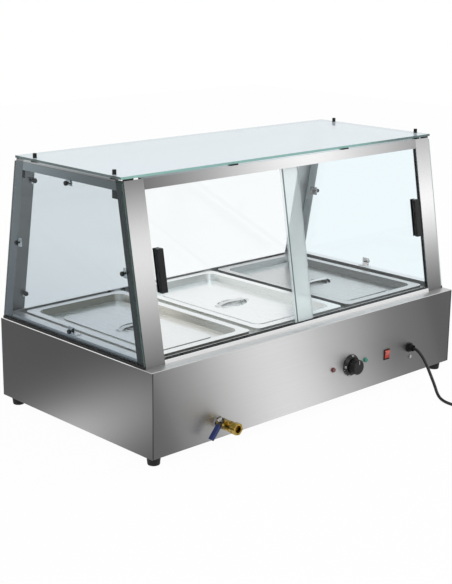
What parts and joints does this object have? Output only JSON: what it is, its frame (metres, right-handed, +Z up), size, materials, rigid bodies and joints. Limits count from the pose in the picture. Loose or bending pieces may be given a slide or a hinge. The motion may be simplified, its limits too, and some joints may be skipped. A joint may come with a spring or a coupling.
{
  "type": "countertop bain marie",
  "caption": "Countertop water bath food warmer with lidded pans under a slanted glass box with sliding front doors, a control panel and a drain valve.",
  "frame": {"origin": "centre of the bounding box on the standing plane, without the free cord and plug", "axes": "+X to the right along the length, +Y from the front controls to the back, +Z up"},
  "size_m": [1.2228, 0.89, 0.6885],
  "materials": {
    "stainless": "brushed, satin",
    "tank_steel": "satin",
    "pan_steel": "polished satin",
    "black_rubber": "matte",
    "brass": "satin",
    "chrome": "polished",
    "lever_steel": "satin",
    "blue_vinyl": "soft matte",
    "black_plastic": "satin",
    "switch_metal": "satin",
    "copper": "satin",
    "red_lens": "gloss",
    "green_lens": "gloss",
    "red_plastic": "gloss",
    "clear_glass": "polished"
  },
  "bodies": {
    "casing": {"front_panel": "stainless", "left_panel": "stainless", "right_panel": "stainless", "back_panel": "stainless", "base_plate": "stainless", "top_deck": "stainless", "posts_front": "stainless", "posts_rear": "stainless", "bottom_rails": "stainless", "top_rails": "stainless", "top_rail_front": "stainless", "door_track": "stainless", "water_tank": "tank_steel", "heater": "tank_steel", "feet": "black_rubber", "rubber_pads": "black_rubber", "drain_fitting": "brass", "valve_body": "brass", "earth_screw": "chrome", "top_studs": "chrome", "glass_clips": "chrome", "rocker_housing": "black_plastic", "cable_gland": "black_plastic", "plug": "black_plastic", "track_inserts": "black_plastic", "clip_screws": "black_plastic", "terminal_block": "black_plastic", "cord_tube": "black_plastic", "cord_coil": "black_plastic", "wiring": "black_plastic", "thermostat_body": "switch_metal", "thermostat_bulb": "copper", "lamp_red": "red_lens", "lamp_green": "green_lens", "glass_left": "clear_glass", "glass_right": "clear_glass", "glass_rear": "clear_glass", "glass_top": "clear_glass"},
    "valve_handle": {"valve_ball": "chrome", "valve_lever": "lever_steel", "lever_sleeve": "blue_vinyl", "lever_nut": "chrome"},
    "dial": {"thermostat_shaft": "switch_metal", "thermostat_knob": "black_plastic"},
    "switch_rocker": {"rocker": "red_plastic"},
    "left_door": {"door_left": "clear_glass", "handle_left": "black_plastic", "seal_left": "black_rubber"},
    "right_door": {"door_right": "clear_glass", "handle_right": "black_plastic", "seal_right": "black_rubber"},
    "pan_1_body": {"pan_1": "pan_steel"},
    "lid_1_body": {"lid_1": "pan_steel", "lid_handle_1": "pan_steel"},
    "pan_2_body": {"pan_2": "pan_steel"},
    "lid_2_body": {"lid_2": "pan_steel", "lid_handle_2": "pan_steel"},
    "pan_3_body": {"pan_3": "pan_steel"},
    "lid_3_body": {"lid_3": "pan_steel", "lid_handle_3": "pan_steel"}
  },
  "joints": [
    {"name": "left_door_slide", "type": "slide", "parent": "casing", "child": "left_door", "axis": [1, 0, 0], "range_m": [0, 0.4235]},
    {"name": "right_door_slide", "type": "slide", "parent": "casing", "child": "right_door", "axis": [1, 0, 0], "range_m": [-0.4235, 0]},
    {"name": "dial_turn", "type": "hinge", "parent": "casing", "child": "dial", "pos_m": [0.131, -0.271, 0.1055], "axis": [0, 1, 0], "range_deg": [0, 270]},
    {"name": "rocker_tip", "type": "hinge", "parent": "casing", "child": "switch_rocker", "pos_m": [0.281, -0.267, 0.104], "axis": [-1, 0, 0], "range_deg": [0, 20]},
    {"name": "valve_turn", "type": "hinge", "parent": "casing", "child": "valve_handle", "pos_m": [-0.355, -0.301, 0.068], "axis": [-0.7547, 0, 0.6561], "range_deg": [0, 90]},
    {"name": "pan_1_lift", "type": "slide", "parent": "casing", "child": "pan_1_body", "axis": [0, 0, 1], "range_m": [0, 0.015]},
    {"name": "lid_1_tilt", "type": "hinge", "parent": "pan_1_body", "child": "lid_1_body", "pos_m": [-0.3455, 0.3165, 0.244], "axis": [-1, 0, 0], "range_deg": [0, 35]},
    {"name": "pan_2_lift", "type": "slide", "parent": "casing", "child": "pan_2_body", "axis": [0, 0, 1], "range_m": [0, 0.015]},
    {"name": "lid_2_tilt", "type": "hinge", "parent": "pan_2_body", "child": "lid_2_body", "pos_m": [0, 0.3165, 0.244], "axis": [-1, 0, 0], "range_deg": [0, 35]},
    {"name": "pan_3_lift", "type": "slide", "parent": "casing", "child": "pan_3_body", "axis": [0, 0, 1], "range_m": [0, 0.015]},
    {"name": "lid_3_tilt", "type": "hinge", "parent": "pan_3_body", "child": "lid_3_body", "pos_m": [0.3455, 0.3165, 0.244], "axis": [-1, 0, 0], "range_deg": [0, 35]}
  ]
}
